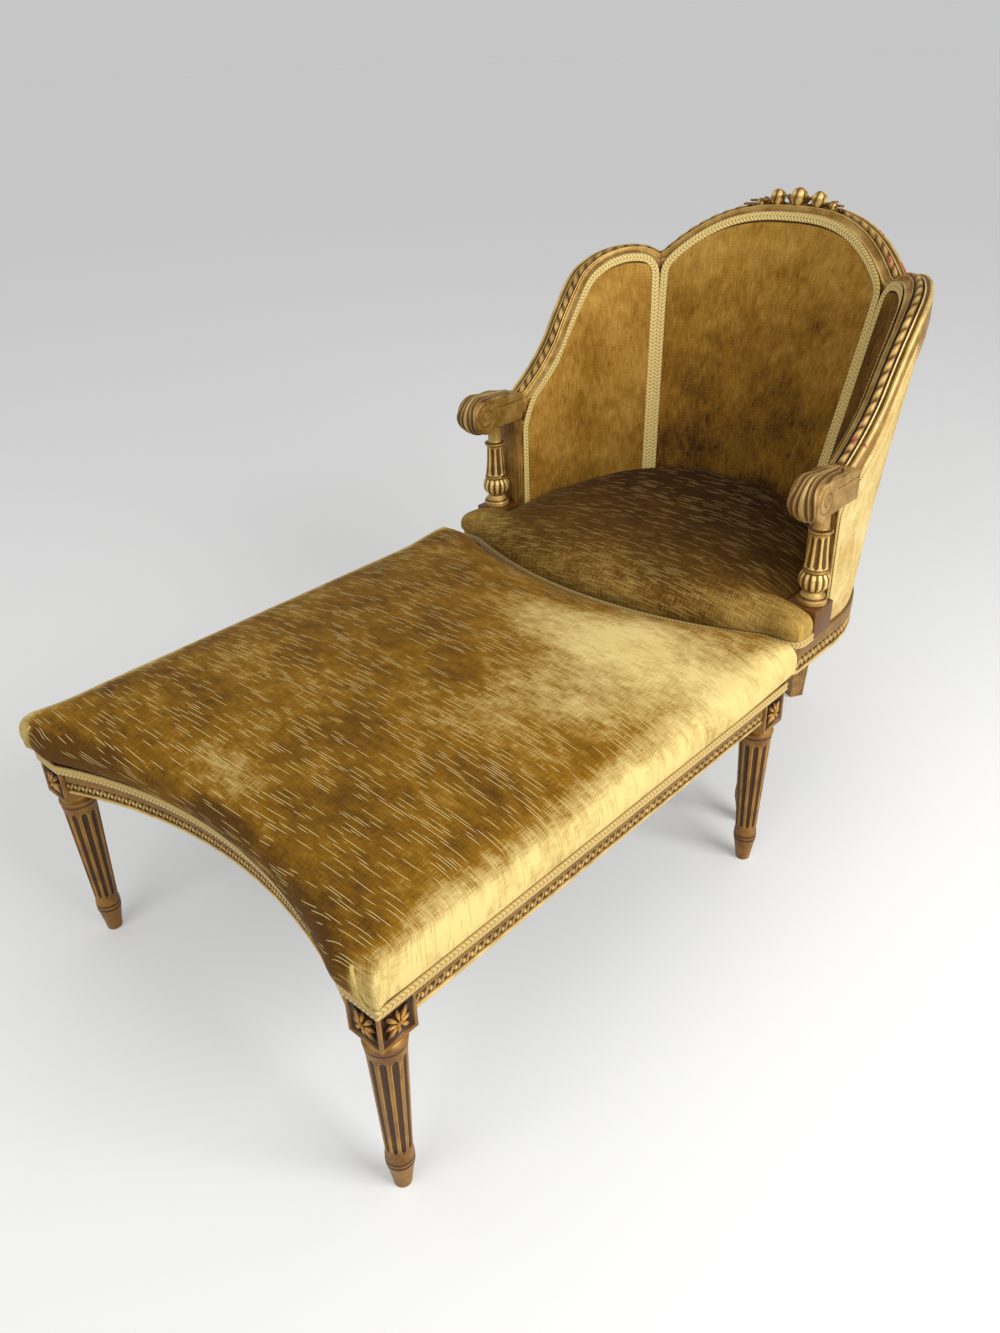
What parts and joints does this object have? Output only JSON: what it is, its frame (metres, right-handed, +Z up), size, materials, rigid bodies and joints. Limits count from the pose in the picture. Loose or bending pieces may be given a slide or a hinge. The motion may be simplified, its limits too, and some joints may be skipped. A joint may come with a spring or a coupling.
{
  "type": "armchair and footstool",
  "caption": "Low carved giltwood armchair with a curved winged back and a long matching footstool whose hollowed end fits the bowed seat, both upholstered in slubbed gold velvet",
  "frame": {"origin": "on the floor, under the middle of the bounding box of the chair and the footstool together", "axes": "+Z up, +Y from the footstool's free end towards the chair's back, +X to the right as seen from the footstool's free end"},
  "size_m": [0.672, 1.2754, 0.8344],
  "materials": {
    "gilt_wood": "worn water gilding over red bole",
    "leg_wood": "brown gilt, rubbed",
    "velvet": "crushed slubbed velvet",
    "seat_velvet": "crushed slubbed velvet, in shadow",
    "braid": "woven gold gimp",
    "beech": "bare beech",
    "hessian": "jute",
    "black_cloth": "black lining cloth",
    "steel": "spring steel wire"
  },
  "bodies": {
    "chair": {"chair_arm_left": "gilt_wood", "chair_arm_post_left": "gilt_wood", "chair_arm_post_right": "gilt_wood", "chair_arm_right": "gilt_wood", "chair_back_leg_left": "leg_wood", "chair_back_leg_right": "leg_wood", "chair_back_pad": "velvet", "chair_back_rail": "gilt_wood", "chair_bottom_cloth": "black_cloth", "chair_brace_left": "beech", "chair_brace_right": "beech", "chair_crest_rail": "gilt_wood", "chair_crest_spray": "gilt_wood", "chair_front_leg_left": "leg_wood", "chair_front_leg_right": "leg_wood", "chair_front_rail": "gilt_wood", "chair_front_stile_left": "gilt_wood", "chair_front_stile_right": "gilt_wood", "chair_gimp": "braid", "chair_hessian": "hessian", "chair_outside_back": "velvet", "chair_outside_wing_left": "velvet", "chair_outside_wing_right": "velvet", "chair_seat_cushion": "seat_velvet", "chair_side_rail_left": "gilt_wood", "chair_side_rail_right": "gilt_wood", "chair_spring_1": "steel", "chair_spring_2": "steel", "chair_spring_3": "steel", "chair_spring_4": "steel", "chair_webbing": "hessian", "chair_wing_pad_left": "velvet", "chair_wing_pad_right": "velvet", "chair_wing_rail_left": "gilt_wood", "chair_wing_rail_right": "gilt_wood"},
    "footstool": {"footstool_bottom_cloth": "black_cloth", "footstool_brace_front_left": "beech", "footstool_brace_front_right": "beech", "footstool_brace_rear_left": "beech", "footstool_brace_rear_right": "beech", "footstool_cushion": "velvet", "footstool_end_rail_front": "gilt_wood", "footstool_end_rail_rear": "gilt_wood", "footstool_gimp": "braid", "footstool_hessian": "hessian", "footstool_leg_front_left": "leg_wood", "footstool_leg_front_right": "leg_wood", "footstool_leg_rear_left": "leg_wood", "footstool_leg_rear_right": "leg_wood", "footstool_side_rail_left": "gilt_wood", "footstool_side_rail_right": "gilt_wood", "footstool_spring_1": "steel", "footstool_spring_2": "steel", "footstool_spring_3": "steel", "footstool_spring_4": "steel", "footstool_webbing": "hessian"}
  },
  "joints": [
    {"name": "footstool_slide", "type": "slide", "parent": "chair", "child": "footstool", "axis": [0, -1, 0], "range_m": [0, 0.7]}
  ]
}
